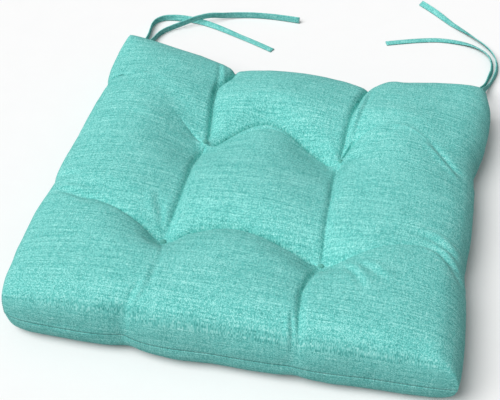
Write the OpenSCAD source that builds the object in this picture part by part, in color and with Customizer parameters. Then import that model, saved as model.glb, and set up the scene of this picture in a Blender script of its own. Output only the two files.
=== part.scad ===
// Tufted chair seat pad: a knife-edge cover, fibre fill, four through tufts and two pairs of ties.
// The origin is the centre of the underside. +X is the width, +Y is the back edge with the ties, +Z is up.

/* [Pad] */
// Width of the front edge before its corners are rounded in
pad_w = 514; // [440:2:560]
// Depth of the pad before its corners are rounded in
pad_d = 500; // [430:2:540]
// How much narrower the back is than the front
back_taper = 14; // [0:1:30]
// Height of the pad along its sides
side_h = 62; // [54:1:70]
// Height of the middle puff
crown_h = 88; // [80:1:100]
// How far the back edge is pulled in between its corners
back_pull = 28; // [0:1:36]
// How far the other edges are pulled in between their corners
side_pull = 5; // [0:1:12]
// How far each corner point is rounded in
corner_in = 6; // [3:1:10]
// How far the front edge stands in from the straight outline
front_in = 1; // [0:1:12]

/* [Cover] */
// Thickness of the cover fabric
cloth_t = 1.2; // [0.8:0.1:1.6]
// Height of the sewn edge between the two panels
seam_h = 1.6; // [1.2:0.1:2.4]

/* [Tufts] */
// Distance between the two tufts of the front row
tuft_pitch_front = 180; // [160:2:190]
// Distance between the two tufts of the back row
tuft_pitch_back = 170; // [160:2:190]
// Distance between the front row and the back row
tuft_rows = 176; // [160:2:190]
// How far the middle of the tufts lies forward of the middle of the pad
tuft_forward = 31; // [10:1:36]
// Height of the cover at the bottom of a top dimple
tuft_top_h = 58; // [50:1:64]
// Depth of the dimple under the pad at a tuft
tuft_bottom_h = 12; // [9:1:18]
// Depth of the soft valleys between the puffs
valley_h = 12; // [0:1:16]
// Diameter of the thread through a tuft
thread_d = 1.8; // [1.2:0.1:2.4]
// Diameter of the stitched tack at each end of a tuft
tack_d = 6.4; // [5:0.2:8]

/* [Ties] */
// Width of a tie
tie_w = 9; // [7:0.5:10]
// Thickness of a tie
tie_t = 1.6; // [1.2:0.1:2]

/* [Hidden] */
half_w = pad_w / 2;
half_d = pad_d / 2;
mid_z = side_h / 2;
top_base = mid_z + seam_h / 2;
bottom_base = mid_z - seam_h / 2;
fill_inset = cloth_t + 0.2;
channel_d = thread_d + 0.5;
dimple_reach = 62;
underside_reach = 48;
valley_reach = 42;
spread_reach = 60;
tack_t = 1.6;
tack_lift = 2;
tack_drop = 1.2;
dart_r = 0.6;
dart_sides = 8;
stitch_d = 0.8;
stitch_len = 5;
stitch_pitch = 7;
stitch_count = 18;
tie_tack_d = 4;
tie_tack_h = 9;
tie_tack_in = 5;
small_gap = 0.1;
cloth = "mediumturquoise";
cloth_under = "lightseagreen";
thread = "darkcyan";
fibre = "whitesmoke";

// The four tufts by name, with the side of the pad that each one is on.
TUFTS = [["front_left", -1, -1], ["front_right", 1, -1], ["back_left", -1, 1], ["back_right", 1, 1]];
function tuft_row(side) = side * tuft_rows / 2 - tuft_forward;
tuft_column = (tuft_pitch_front + tuft_pitch_back) / 4;
tuft_spread = (tuft_pitch_front - tuft_pitch_back) / 4;
function tuft_xy(tuft) = [tuft[1] * (tuft_column - tuft[2] * tuft_spread), tuft_row(tuft[2])];

// Grid lines: round the edge roll, then in even cells to the tufts, then in even cells between them.
roll_r = mid_z;
roll_steps = 4;
cells_outside = 6;
cells_between = 8;
function roll_angle(k) = 90 * k / roll_steps;
function roll_lines(flat) = [for (k = [0:roll_steps]) flat + roll_r * sin(roll_angle(k))];
function even_lines(from, to, cells) = [for (k = [1:cells - 1]) from + (to - from) * k / cells];
function reversed(list) = [for (k = [len(list) - 1:-1:0]) list[k]];
function grid_lines(half, low, high) = concat(
    reversed(-roll_lines(half - roll_r)),
    even_lines(roll_r - half, low, cells_outside),
    [low],
    even_lines(low, high, cells_between),
    [high],
    even_lines(high, half - roll_r, cells_outside),
    roll_lines(half - roll_r));
x_lines = grid_lines(half_w, -tuft_column, tuft_column);
y_lines = grid_lines(half_d, tuft_row(-1), tuft_row(1));
last = len(x_lines) - 1;
row = last + 1;

// A smooth bump: 1 at the middle, and 0 from its reach outwards.
function bump(r, reach) = abs(r) < reach ? (1 + cos(180 * r / reach)) / 2 : 0;
function tuft_bump(x, y, reach) = max([for (t = TUFTS) bump(norm([x, y] - tuft_xy(t)), reach)]);

// Heights of the cover: the puffs rise between valleys along the tuft rows, and sink at the tufts.
function valley(x, y) = max(
    bump(abs(x) - tuft_column, valley_reach),
    bump(y - tuft_row(-1), valley_reach),
    bump(y - tuft_row(1), valley_reach));
function dome(x, y) = (1 - pow(x / half_w, 4)) * (1 - pow(y / half_d, 4));
function puff_z(x, y) = side_h + (crown_h - side_h - valley_h * valley(x, y)) * dome(x, y);
function top_z(x, y) = puff_z(x, y) + (tuft_top_h - puff_z(x, y)) * tuft_bump(x, y, dimple_reach);
function bottom_z(x, y) = tuft_bottom_h * tuft_bump(x, y, underside_reach);

// The share of the full height on a grid line: 0 on the seam, and 1 inside the edge roll.
function line_share(k) = cos(roll_angle(max(0, roll_steps - min(k, last - k))));
function share(i, j) = min(line_share(i), line_share(j));

// Place in plan of a point of the straight grid, with the pulled-in edges and rounded corners.
function near_edge(a) = pow(abs(a), 6);
function corner_round(u, v) = corner_in * pow(abs(u * v), 8);
function taper(v) = 1 - back_taper * (v + 1) / 4 / half_w;
function spread(x, y) = -sign(x) * tuft_spread * (y + tuft_forward) * 2 / tuft_rows
    * bump(abs(x) - tuft_column, spread_reach);
function plan(x, y, inset) = let (u = x / half_w, v = y / half_d,
        pull_x = side_pull * (1 - v * v) * near_edge(u) + corner_round(u, v),
        pull_y = (v > 0 ? back_pull * (1 - u * u) : side_pull * (1 - u * u) + front_in) * near_edge(v)
            + corner_round(u, v))
    [sign(x) * (abs(x) - pull_x) * taper(v) * (1 - inset / half_w) + spread(x, y),
     sign(y) * (abs(y) - pull_y) * (1 - inset / half_d)];

// A point of the cover, moved inwards by the inset.
function top_point(i, j, inset) = let (p = plan(x_lines[i], y_lines[j], inset))
    [p[0], p[1], top_base + (top_z(p[0], p[1]) - inset - top_base) * share(i, j)];
function bottom_point(i, j, inset) = let (p = plan(x_lines[i], y_lines[j], inset))
    [p[0], p[1], bottom_base - (bottom_base - bottom_z(p[0], p[1]) - inset) * share(i, j)];
function top_grid(inset) = [for (j = [0:last]) for (i = [0:last]) top_point(i, j, inset)];
function bottom_grid(inset) = [for (j = [0:last]) for (i = [0:last]) bottom_point(i, j, inset)];

// The grid points along the seam, counter-clockwise from the front left corner.
seam_walk = concat(
    [for (i = [0:last - 1]) [i, 0]],
    [for (j = [0:last - 1]) [last, j]],
    [for (i = [last:-1:1]) [i, last]],
    [for (j = [last:-1:1]) [0, j]]);
function seam_outline(inset) = [for (c = seam_walk) plan(x_lines[c[0]], y_lines[c[1]], inset)];

// A closed solid between two grids, the first over the second. Cells are cut along the corner mitres.
module slab(over, under) {
    count = row * row;
    cells = [for (j = [0:last - 1]) for (i = [0:last - 1])
        [j * row + i, (2 * i + 1 - last) * (2 * j + 1 - last) < 0]];
    up = [for (cell = cells) let (c = cell[0]) each cell[1]
        ? [[c, c + row, c + 1], [c + 1, c + row, c + row + 1]]
        : [[c, c + row, c + row + 1], [c, c + row + 1, c + 1]]];
    down = [for (face = up) [face[2] + count, face[1] + count, face[0] + count]];
    walk = [for (c = seam_walk) c[1] * row + c[0]];
    rim = [for (k = [0:len(walk) - 1]) let (a = walk[k], b = walk[(k + 1) % len(walk)])
        each [[a, b, b + count], [a, b + count, a + count]]];
    polyhedron(points = concat(over, under), faces = concat(up, down, rim), convexity = 8);
}

// A cord along points. across holds the ring's first axis at each point, and its second is square to that.
module swept(points, across, ring) {
    ends = len(points) - 1;
    sides = len(ring);
    function along(k) = points[min(k + 1, ends)] - points[max(k - 1, 0)];
    function upward(k) = cross(across[k], along(k)) / norm(cross(across[k], along(k)));
    verts = [for (k = [0:ends]) for (r = ring) points[k] + r[0] * across[k] + r[1] * upward(k)];
    sleeve = [for (k = [0:ends - 1]) for (s = [0:sides - 1])
        let (a = k * sides + s, b = k * sides + (s + 1) % sides)
        each [[a, b, b + sides], [a, b + sides, a + sides]]];
    start_cap = [for (s = [sides - 1:-1:0]) s];
    end_cap = [for (s = [0:sides - 1]) ends * sides + s];
    polyhedron(points = verts, faces = concat([start_cap], sleeve, [end_cap]), convexity = 6);
}

// Channels through the cover and the fill for the tuft threads
module tuft_channels() {
    for (t = TUFTS) {
        translate([tuft_xy(t)[0], tuft_xy(t)[1], -1])
            cylinder(d = channel_d, h = crown_h + 2, $fn = 24);
    }
}

module top_panel() {
    color(cloth) difference() {
        slab(top_grid(0), top_grid(cloth_t));
        tuft_channels();
    }
}

module bottom_panel() {
    color(cloth_under) difference() {
        slab(bottom_grid(cloth_t), bottom_grid(0));
        tuft_channels();
    }
}

module fibre_fill() {
    color(fibre) difference() {
        slab(top_grid(fill_inset), bottom_grid(fill_inset));
        tuft_channels();
    }
}

// The sewn edge that joins the two panels all the way round
module edge_seam() {
    color(thread) translate([0, 0, bottom_base]) linear_extrude(seam_h) difference() {
        polygon(seam_outline(0));
        polygon(seam_outline(cloth_t));
    }
}

// Mitre stitching of one corner, over the top panel and under the bottom panel
module corner_dart(side_x, side_y) {
    out = -dart_r - small_gap;
    first = side_y > 0 ? 1 : 0;
    ring = [for (k = [0:dart_sides - 1]) dart_r * [cos(360 * k / dart_sides), sin(360 * k / dart_sides)]];
    function line(k, side) = side < 0 ? k : last - k;
    over = [for (k = [first:roll_steps]) top_point(line(k, side_x), line(k, side_y), out)];
    under = [for (k = [first:roll_steps - 1]) bottom_point(line(k, side_x), line(k, side_y), out)];
    across = [-side_y, side_x, 0] / sqrt(2);
    color(thread) {
        swept(over, [for (p = over) across], ring);
        swept(under, [for (p = under) across], ring);
    }
}

// Hand stitches that close the filling gap in the middle of the back edge
module closing_stitch() {
    color(thread) for (k = [0:stitch_count - 1]) {
        x = (k - (stitch_count - 1) / 2) * stitch_pitch;
        edge = plan(x, half_d, 0);
        translate([edge[0], edge[1] + stitch_d / 2 + small_gap, mid_z])
            cylinder(d = stitch_d, h = stitch_len, center = true, $fn = 16);
    }
}

module tuft_thread(tuft) {
    from = tuft_bottom_h - tack_drop;
    color(thread) translate([tuft_xy(tuft)[0], tuft_xy(tuft)[1], from])
        cylinder(d = thread_d, h = tuft_top_h + tack_lift - from, $fn = 24);
}

// A low round stitched tack, flat below
module tack() {
    r = tack_d / 2;
    color(thread) rotate_extrude($fn = 32)
        polygon([[0, 0], [r - 0.5, 0], [r, 0.5], [r - 0.4, 1.2], [r - 1.2, tack_t], [0, tack_t]]);
}

module top_tack(tuft) {
    translate([tuft_xy(tuft)[0], tuft_xy(tuft)[1], tuft_top_h + tack_lift]) tack();
}

module bottom_tack(tuft) {
    translate([tuft_xy(tuft)[0], tuft_xy(tuft)[1], tuft_bottom_h - tack_drop]) mirror([0, 0, 1]) tack();
}

// The ties of a corner start at its tack, which stands just outside the seam, next to the corner.
function tie_root(side) = let (corner = plan(side * (half_w - tie_tack_in), half_d, 0),
        out = tie_tack_d / 2 + small_gap)
    [corner[0], corner[1] + out, 0];

module tie_tack(side) {
    color(thread) translate(tie_root(side) + [0, 0, mid_z])
        cylinder(d = tie_tack_d, h = tie_tack_h, center = true, $fn = 24);
}

// Routes of the ties from their root: x, y, height of the lower edge above the surface, and lean.
// A lean of 0 is a tie that stands on its edge, and at 90 it lies flat.
LEFT_OUTER = [
    [-1.2, 3, 26, 0], [-1.1, 14, 25, 0], [-0.3, 28, 20, 0], [0.6, 42, 12, 0], [1.4, 56, 5, 0],
    [1.3, 70, 1, 0], [1.2, 84, 0.2, 0], [0, 98, 0.2, 0], [-0.1, 110, 0.2, 0], [3.8, 121, 0.2, 5],
    [12.6, 129, 0.2, 10], [25.5, 133, 0.2, 20], [42.3, 135, 0.2, 40], [63.2, 134, 0.2, 60],
    [85.1, 129, 0.2, 70], [107.9, 121, 0.2, 80], [132.8, 111, 0.2, 90], [158.6, 100, 0.2, 90],
    [184.5, 88, 0.2, 90]];
LEFT_INNER = [
    [1.2, 3, 26, 0], [2.9, 14, 25, 0], [4.7, 28, 20, 0], [7.6, 43, 12, 0], [9.4, 58, 5, 0],
    [11.3, 72, 1, 0], [14.1, 85, 0.2, 0], [20, 97, 0.2, 0], [30.8, 108, 1, 0], [45.7, 118, 4, 0],
    [62.5, 128, 7.8, 0], [80.4, 139, 7.8, 0], [98.2, 149, 3.5, 5], [118.1, 158, 0.8, 10],
    [139.9, 163, 0.2, 10], [163.8, 165, 0.2, 10], [187.6, 165, 0.2, 15], [210.5, 164, 0.2, 20]];
RIGHT_OUTER = [
    [1.2, 3, 26, 0], [3, 14, 25, 0], [6, 26.8, 20, 0], [9, 39.6, 12, 0], [12, 53.5, 5, 0],
    [16, 67.5, 1, 0], [20, 82.5, 0.2, 10], [23, 97.5, 0.2, 20], [23, 113.5, 0.2, 25],
    [20, 128.5, 0.2, 25], [14, 142.5, 0.2, 30], [5, 155.5, 0.2, 35], [-8, 169.5, 0.2, 45],
    [-23, 183.5, 0.2, 60], [-40, 198.5, 0.2, 80], [-58, 214.5, 0.2, 100], [-77, 231.5, 0.2, 115],
    [-98, 248.5, 0.2, 120]];
RIGHT_INNER = [
    [-1.2, 3, 26, 0], [0, 14, 25, 0], [2, 26.8, 20, 0], [4, 39.6, 12, 0], [7, 53.5, 5, 0],
    [10, 67.5, 1, 0], [13, 82.5, 0.2, 10], [16, 96.5, 0.2, 20], [16, 111.5, 0.2, 25],
    [13, 126.5, 0.2, 35], [6, 139.5, 0.2, 45], [-5, 149.5, 0.2, 55], [-20, 157.5, 0.2, 70],
    [-39, 161.5, 0.2, 85], [-63, 161.5, 0.2, 90], [-89, 155.5, 0.2, 90], [-113, 147.5, 0.2, 90],
    [-137, 138.5, 0.2, 90]];

function tie_half_height(lean) = tie_w / 2 * abs(cos(lean)) + tie_t / 2 * abs(sin(lean));
module tie(side, route) {
    bevel = tie_t / 4;
    w = tie_w / 2;
    t = tie_t / 2;
    ring = [[t, bevel - w], [t, w - bevel], [t - bevel, w], [bevel - t, w],
            [-t, w - bevel], [-t, bevel - w], [bevel - t, -w], [t - bevel, -w]];
    ends = len(route) - 1;
    points = [for (p = route) tie_root(side) + [p[0], p[1], p[2] + tie_half_height(p[3])]];
    function along(k) = points[min(k + 1, ends)] - points[max(k - 1, 0)];
    function sideways(k) = cross(along(k), [0, 0, 1]) / norm(cross(along(k), [0, 0, 1]));
    function upward(k) = cross(sideways(k), along(k)) / norm(along(k));
    across = [for (k = [0:ends]) cos(route[k][3]) * sideways(k) + sin(route[k][3]) * upward(k)];
    color(cloth) swept(points, across, ring);
}

top_panel();
bottom_panel();
fibre_fill();
edge_seam();
closing_stitch();
for (t = TUFTS) {
    corner_dart(t[1], t[2]);
    tuft_thread(t);
    top_tack(t);
    bottom_tack(t);
}
tie_tack(-1);  // tie_tack_left
tie_tack(1);  // tie_tack_right
tie(-1, LEFT_OUTER);  // left_tie_outer
tie(-1, LEFT_INNER);  // left_tie_inner
tie(1, RIGHT_OUTER);  // right_tie_outer
tie(1, RIGHT_INNER);  // right_tie_inner
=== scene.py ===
import math

import bpy
import numpy as np
from mathutils import Matrix, Vector, noise


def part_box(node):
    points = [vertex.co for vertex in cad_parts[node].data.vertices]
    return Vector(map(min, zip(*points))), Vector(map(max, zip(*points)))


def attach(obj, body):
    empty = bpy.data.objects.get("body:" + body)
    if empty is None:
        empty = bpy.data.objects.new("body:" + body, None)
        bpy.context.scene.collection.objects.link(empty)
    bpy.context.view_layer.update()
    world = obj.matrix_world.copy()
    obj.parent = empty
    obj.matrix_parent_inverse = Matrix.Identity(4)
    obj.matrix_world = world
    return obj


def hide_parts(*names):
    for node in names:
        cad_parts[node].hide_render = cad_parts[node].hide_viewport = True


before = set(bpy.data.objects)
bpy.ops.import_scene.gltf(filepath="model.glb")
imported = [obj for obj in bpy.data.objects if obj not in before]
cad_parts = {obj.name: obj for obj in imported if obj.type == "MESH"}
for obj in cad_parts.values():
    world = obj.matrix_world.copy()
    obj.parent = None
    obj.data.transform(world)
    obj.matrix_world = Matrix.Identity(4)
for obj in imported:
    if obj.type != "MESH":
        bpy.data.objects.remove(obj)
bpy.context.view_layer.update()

MM = 0.001


# ---------------------------------------------------------------- camera

CAMERA_PLACE = Vector((0.195, -0.943, 0.965))
CAMERA_TURN = math.radians(12.6)    # turned to the left of +Y
CAMERA_DOWN = math.radians(44.2)
CAMERA_ROLL = math.radians(-0.5)
CAMERA_LENS = 80.0


def make_camera():
    data = bpy.data.cameras.new("camera")
    data.lens = CAMERA_LENS
    data.sensor_width = 36.0
    data.clip_start = 0.01
    camera = bpy.data.objects.new("camera", data)
    bpy.context.scene.collection.objects.link(camera)
    look = Matrix.Rotation(CAMERA_TURN, 4, "Z") @ Matrix.Rotation(math.pi / 2 - CAMERA_DOWN, 4, "X")
    camera.matrix_world = Matrix.Translation(CAMERA_PLACE) @ look @ Matrix.Rotation(CAMERA_ROLL, 4, "Z")
    bpy.context.scene.camera = camera


make_camera()


# ---------------------------------------------------------------- shared helpers

def add_object(name, verts, faces):
    """A smooth-shaded mesh object from points and faces, in metres."""
    mesh = bpy.data.meshes.new(name)
    mesh.from_pydata([tuple(v) for v in verts], [], [tuple(f) for f in faces])
    mesh.validate()
    mesh.polygons.foreach_set("use_smooth", [True] * len(mesh.polygons))
    obj = bpy.data.objects.new(name, mesh)
    bpy.context.scene.collection.objects.link(obj)
    return obj


def set_weave(obj, coords):
    """Where each point lies in its flat cloth, in metres: the materials read it as the attribute weave."""
    flat = np.zeros((len(obj.data.vertices), 3))
    flat[:, :2] = np.asarray(coords).reshape(-1, 2)
    obj.data.attributes.new("weave", "FLOAT_VECTOR", "POINT").data.foreach_set("vector", flat.ravel())


def box_centre(node):
    lo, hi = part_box(node)
    return (Vector(lo) + Vector(hi)) / 2


def smooth_line(x, knots):
    """A smooth curve through a few (x, value) knots, flat beyond its ends."""
    xs = np.array([k[0] for k in knots], float)
    ys = np.array([k[1] for k in knots], float)
    slopes = np.gradient(ys, xs)
    slopes[0] = slopes[-1] = 0.0
    x = np.clip(np.asarray(x, float), xs[0], xs[-1])
    k = np.clip(np.searchsorted(xs, x, side="right") - 1, 0, len(xs) - 2)
    h = xs[k + 1] - xs[k]
    t = (x - xs[k]) / h
    return ((1 + 2 * t) * (1 - t) ** 2 * ys[k] + t * (1 - t) ** 2 * h * slopes[k]
            + t * t * (3 - 2 * t) * ys[k + 1] + t * t * (t - 1) * h * slopes[k + 1])


def bump(r, reach):
    """1 at r = 0, and 0 from its reach outwards."""
    r = np.abs(np.asarray(r, float))
    return np.where(r < reach, (1 + np.cos(np.pi * r / reach)) / 2, 0.0)


def valley(d, width):
    """The section of a crease between two puffs: 1 at the bottom, and 0 from its width outwards."""
    return np.clip(1 - np.abs(d) / width, 0, 1) ** 2


def soft_min(a, b, sharpness):
    """The smaller of two shares from 0 to 1, with the change-over rounded."""
    a, b = np.maximum(a, 1e-4), np.maximum(b, 1e-4)
    return (a ** -sharpness + b ** -sharpness - 1) ** (-1 / sharpness)


def spline(knots, steps):
    """A smooth line through a few points, with so many steps from each point to the next."""
    knots = np.array(knots, float)
    knots = np.vstack([2 * knots[0] - knots[1], knots, 2 * knots[-1] - knots[-2]])
    line = []
    for k in range(1, len(knots) - 2):
        a, b, c, d = knots[k - 1:k + 3]
        for t in np.arange(steps) / steps:
            line.append(0.5 * (2 * b + (c - a) * t + (2 * a - 5 * b + 4 * c - d) * t * t
                               + (3 * b - 3 * c + d - a) * t ** 3))
    line.append(knots[-2])
    return np.array(line)


THREAD_END = 0.55    # a thread's thickness at its two ends, as a share of its own


def tubes(name, lines, radius, sides=8):
    """One mesh of round threads, one for each line of points in metres, closed at both ends."""
    verts, faces, coords = [], [], []
    for line in lines:
        line = [Vector(p) for p in line]
        last = len(line) - 1
        base = len(verts)
        run = 0.0
        side = None
        for k, p in enumerate(line):
            along = (line[min(k + 1, last)] - line[max(k - 1, 0)]).normalized()
            if side is None:
                side = along.orthogonal().normalized()
            side = (side - along * side.dot(along)).normalized()
            up = along.cross(side)
            run += (p - line[k - 1]).length if k else 0.0
            r = radius * (THREAD_END if k in (0, last) else 1.0)
            for s in range(sides):
                a = 2 * math.pi * s / sides
                verts.append(p + (side * math.cos(a) + up * math.sin(a)) * r)
                coords.append((run, radius * a))
        for k in range(last):
            for s in range(sides):
                a = base + k * sides + s
                b = base + k * sides + (s + 1) % sides
                faces.append((a, b, b + sides, a + sides))
        faces.append(tuple(base + s for s in reversed(range(sides))))
        faces.append(tuple(base + last * sides + s for s in range(sides)))
    obj = add_object(name, verts, faces)
    set_weave(obj, coords)
    return obj


# ---------------------------------------------------------------- ties

TIE_W = 9 * MM
TIE_T = 1.6 * MM
TIE_CLEARANCE = 0.1 * MM    # the least gap between a tie and the floor
ROUTE_STEPS = 6

# Routes of the ties from their root, as in the CAD model: x, y, height of the lower edge in millimetres,
# and lean in degrees.
ROUTES = {
    "left_tie_outer": [
        (-1.2, 3, 26, 0), (-1.1, 14, 25, 0), (-0.3, 28, 20, 0), (0.6, 42, 12, 0), (1.4, 56, 5, 0),
        (1.3, 70, 1, 0), (1.2, 84, 0.2, 0), (0, 98, 0.2, 0), (-0.1, 110, 0.2, 0), (3.8, 121, 0.2, 5),
        (12.6, 129, 0.2, 10), (25.5, 133, 0.2, 20), (42.3, 135, 0.2, 40), (63.2, 134, 0.2, 60),
        (85.1, 129, 0.2, 70), (107.9, 121, 0.2, 80), (132.8, 111, 0.2, 90), (158.6, 100, 0.2, 90),
        (184.5, 88, 0.2, 90)],
    "left_tie_inner": [
        (1.2, 3, 26, 0), (2.9, 14, 25, 0), (4.7, 28, 20, 0), (7.6, 43, 12, 0), (9.4, 58, 5, 0),
        (11.3, 72, 1, 0), (14.1, 85, 0.2, 0), (20, 97, 0.2, 0), (30.8, 108, 1, 0), (45.7, 118, 4, 0),
        (62.5, 128, 7.8, 0), (80.4, 139, 7.8, 0), (98.2, 149, 3.5, 5), (118.1, 158, 0.8, 10),
        (139.9, 163, 0.2, 10), (163.8, 165, 0.2, 10), (187.6, 165, 0.2, 15), (210.5, 164, 0.2, 20)],
    "right_tie_outer": [
        (1.2, 3, 26, 0), (3, 14, 25, 0), (6, 26.8, 20, 0), (9, 39.6, 12, 0), (12, 53.5, 5, 0),
        (16, 67.5, 1, 0), (20, 82.5, 0.2, 10), (23, 97.5, 0.2, 20), (23, 113.5, 0.2, 25),
        (20, 128.5, 0.2, 25), (14, 142.5, 0.2, 30), (5, 155.5, 0.2, 35), (-8, 169.5, 0.2, 45),
        (-23, 183.5, 0.2, 60), (-40, 198.5, 0.2, 80), (-58, 214.5, 0.2, 100), (-77, 231.5, 0.2, 115),
        (-98, 248.5, 0.2, 120)],
    "right_tie_inner": [
        (-1.2, 3, 26, 0), (0, 14, 25, 0), (2, 26.8, 20, 0), (4, 39.6, 12, 0), (7, 53.5, 5, 0),
        (10, 67.5, 1, 0), (13, 82.5, 0.2, 10), (16, 96.5, 0.2, 20), (16, 111.5, 0.2, 25),
        (13, 126.5, 0.2, 35), (6, 139.5, 0.2, 45), (-5, 149.5, 0.2, 55), (-20, 157.5, 0.2, 70),
        (-39, 161.5, 0.2, 85), (-63, 161.5, 0.2, 90), (-89, 155.5, 0.2, 90), (-113, 147.5, 0.2, 90),
        (-137, 138.5, 0.2, 90)],
}


def tie_half_height(lean):
    return TIE_W / 2 * abs(math.cos(lean)) + TIE_T / 2 * abs(math.sin(lean))


def fine_route(root, route):
    """Points and leans along a smooth curve through the route's points."""
    knots = [(x * MM, y * MM, lift * MM, math.radians(lean)) for x, y, lift, lean in route]
    return [(Vector((root.x + x, root.y + y, max(lift, TIE_CLEARANCE) + tie_half_height(lean))), lean)
            for x, y, lift, lean in spline(knots, ROUTE_STEPS)]


def tie_section():
    """The section of a folded strap: one face from edge to edge, then the other face."""
    w, t = TIE_W / 2, TIE_T / 2
    shape = [(1.0, 0.30), (0.93, 0.78), (0.72, 0.92), (0.36, 1.0), (0.0, 1.0),
             (-0.36, 1.0), (-0.72, 0.92), (-0.93, 0.78), (-1.0, 0.30)]
    return ([(t * thick, w * across) for across, thick in shape]
            + [(-t * thick, w * across) for across, thick in reversed(shape)])


def make_tie(node, body, root):
    line = fine_route(root, ROUTES[node])
    section = tie_section()
    count = len(section)
    last = len(line) - 1
    verts, faces = [], []
    for k, (p, lean) in enumerate(line):
        along = (line[min(k + 1, last)][0] - line[max(k - 1, 0)][0]).normalized()
        side = along.cross(Vector((0, 0, 1))).normalized()
        up = side.cross(along)
        thick = math.cos(lean) * side + math.sin(lean) * up
        wide = thick.cross(along)
        verts += [p + thick * a + wide * b for a, b in section]
    for k in range(last):
        for s in range(count):
            a, b = k * count + s, k * count + (s + 1) % count
            faces.append((a, a + count, b + count, b))
    faces.append(tuple(range(count)))
    faces.append(tuple(last * count + s for s in reversed(range(count))))
    tie = add_object(node + "_strap", verts, faces)
    path = [tuple(p) for p, _ in line]
    runs = [0.0]
    for a, b in zip(path, path[1:]):
        runs.append(runs[-1] + (Vector(b) - Vector(a)).length)
    set_weave(tie, [(run, across + thick * 0.5) for run in runs for thick, across in section])
    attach(tie, body)
    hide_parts(node)
    return tie


ties = [make_tie(node, node.split("_")[0] + "_ties", box_centre("tie_tack_" + node.split("_")[0]))
        for node in ROUTES]


# ---------------------------------------------------------------- the pad's outline, in millimetres

HALF_W = 257.0
HALF_D = 250.0
SIDE_H = 62.0
SEAM_Z = SIDE_H / 2
CROWN = 27.0
BACK_TAPER = 14.0
BACK_PULL = 18.0
SIDE_PULL = 5.0
CORNERS_IN = {"front_left": 13.0, "front_right": 6.0, "back_left": 8.0, "back_right": 7.0}
COVER_T = 1.2

ROLL_IN = 24.0           # how far in the top panel is over its edge roll
ROLL_FULLNESS = 3.3
RIGHT_ROLL_IN = 34.0     # the right side turns over more slowly
RIGHT_ROLL_FULLNESS = 2.15
FRONT_ROLL_IN = 16.0     # and the front side more sharply
FRONT_ROLL_FULLNESS = 2.8
UNDER_IN = 34.0          # how far in the bottom panel reaches what the pad rests on
UNDER_FULLNESS = 2.7
UNDER_CORNER_IN = 5.0
ROLL_CELLS = 10          # grid cells round the turn-over
ROLL_SPACING = 1.35      # above 1, these cells get narrower towards the seam
LINE_CLOSENESS = 0.5     # from 0 to 1, how much closer the grid lines lie at the creases
SEAM_GROOVE = 0.2
SEAM_GROOVE_W = 1.2
EDGE_FADE = 6            # powers with which the shapes of the sides and the corners fade inwards
CORNER_FADE = 8
UNDER_CORNER_FADE = 7

COLUMN_X = 87.5
ROW_FRONT = -119.0
ROW_BACK = 57.0

# How far each side swells out or is drawn in, along its run, from the plain outline.
LEFT_SWELL = [(-250, -4), (-200, -3), (-150, 0), (-78, -4), (-20, 0), (0, -2), (20, -3), (50, -5), (78, -9),
              (107, -12), (137, -8), (172, -3), (205, -2), (250, -3)]
RIGHT_SWELL = [(-250, 2), (-160, 2), (-92, -3), (-20, 2), (40, 1), (84, -2), (140, 8), (200, 12), (250, 9)]
FRONT_SWELL = [(-250, -3), (-200, -4), (-112, -6), (-99, -8), (-86, -4), (0, -2), (66, -3), (81, -4),
               (93, -3), (170, -7), (250, -8)]
BACK_SWELL = [(-250, 5), (-200, 5), (-131, -7), (-100, -16), (-86, -24), (-68, -23), (-40, -20), (0, -16),
              (52, -20), (70, -26), (85, -30), (93, -21), (101, -12), (151, -5), (200, -2), (250, -2)]

# Where the creases of the two columns and the valleys of the two rows run across the pad.
LEFT_CREASE_X = [(-250, -92), (-215, -80), (-165, -79), (-119, -90), (-90, -87), (-40, -86), (25, -89),
                 (57, -85), (100, -89), (135, -94), (165, -93), (186, -85), (215, -82), (250, -84)]
RIGHT_CREASE_X = [(-250, 87), (-210, 82), (-172, 80), (-150, 84), (-119, 91), (-80, 89), (-38, 87), (22, 84),
                  (57, 85), (110, 88), (158, 93), (190, 98), (215, 101), (250, 102)]
FRONT_VALLEY_Y = [(-257, -74), (-219, -72), (-191, -82), (-171, -87), (-145, -95), (-117, -107), (-88, -119),
                  (-54, -104), (-22, -95), (13, -98), (49, -108), (90, -119), (121, -112), (141, -103),
                  (162, -93), (183, -86), (205, -83), (239, -96), (257, -100)]
BACK_VALLEY_Y = [(-257, 128), (-200, 130), (-172, 121), (-154, 106), (-128, 85), (-104, 67), (-85, 57),
                 (-58, 78), (-34, 94), (-16, 99), (3, 95), (24, 84), (45, 72), (65, 61), (85, 57),
                 (97, 84), (113, 100), (137, 108), (162, 106), (181, 95), (207, 74), (229, 58), (257, 62)]

# The depth of each crease along its run: its broad part, then the sharp fold at its bottom.
LEFT_DEPTH = [(-250, 0), (-205, 0), (-160, 1.5), (-119, 11), (-30, 15), (57, 17), (110, 20), (170, 17),
              (250, 8)]
LEFT_FOLD = [(-250, 1), (-205, 0.5), (-165, 1), (-119, 3), (-30, 5), (57, 7), (110, 8), (170, 9), (215, 9),
             (250, 3)]
RIGHT_DEPTH = [(-250, 1), (-200, 4), (-160, 9), (-119, 12), (-60, 11), (0, 13), (57, 15), (110, 11),
               (170, 10), (250, 8)]
RIGHT_FOLD = [(-250, 4), (-210, 6), (-160, 7), (-119, 5), (-60, 4), (0, 5), (57, 5), (110, 6), (170, 8),
              (215, 7), (250, 3)]
FRONT_DEPTH = [(-257, 1), (-214, 4), (-170, 7), (-130, 11), (-88, 15), (-50, 17), (0, 16), (45, 17), (88, 15),
               (121, 6), (162, 4), (205, 4), (257, 3)]
BACK_DEPTH = [(-257, 0), (-190, 2), (-168, 4), (-150, 8), (-128, 13), (-85, 19), (-45, 21), (0, 19), (45, 24),
              (85, 18), (113, 5), (137, 3), (162, 2.5), (181, 3), (207, 4), (257, 4)]
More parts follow.
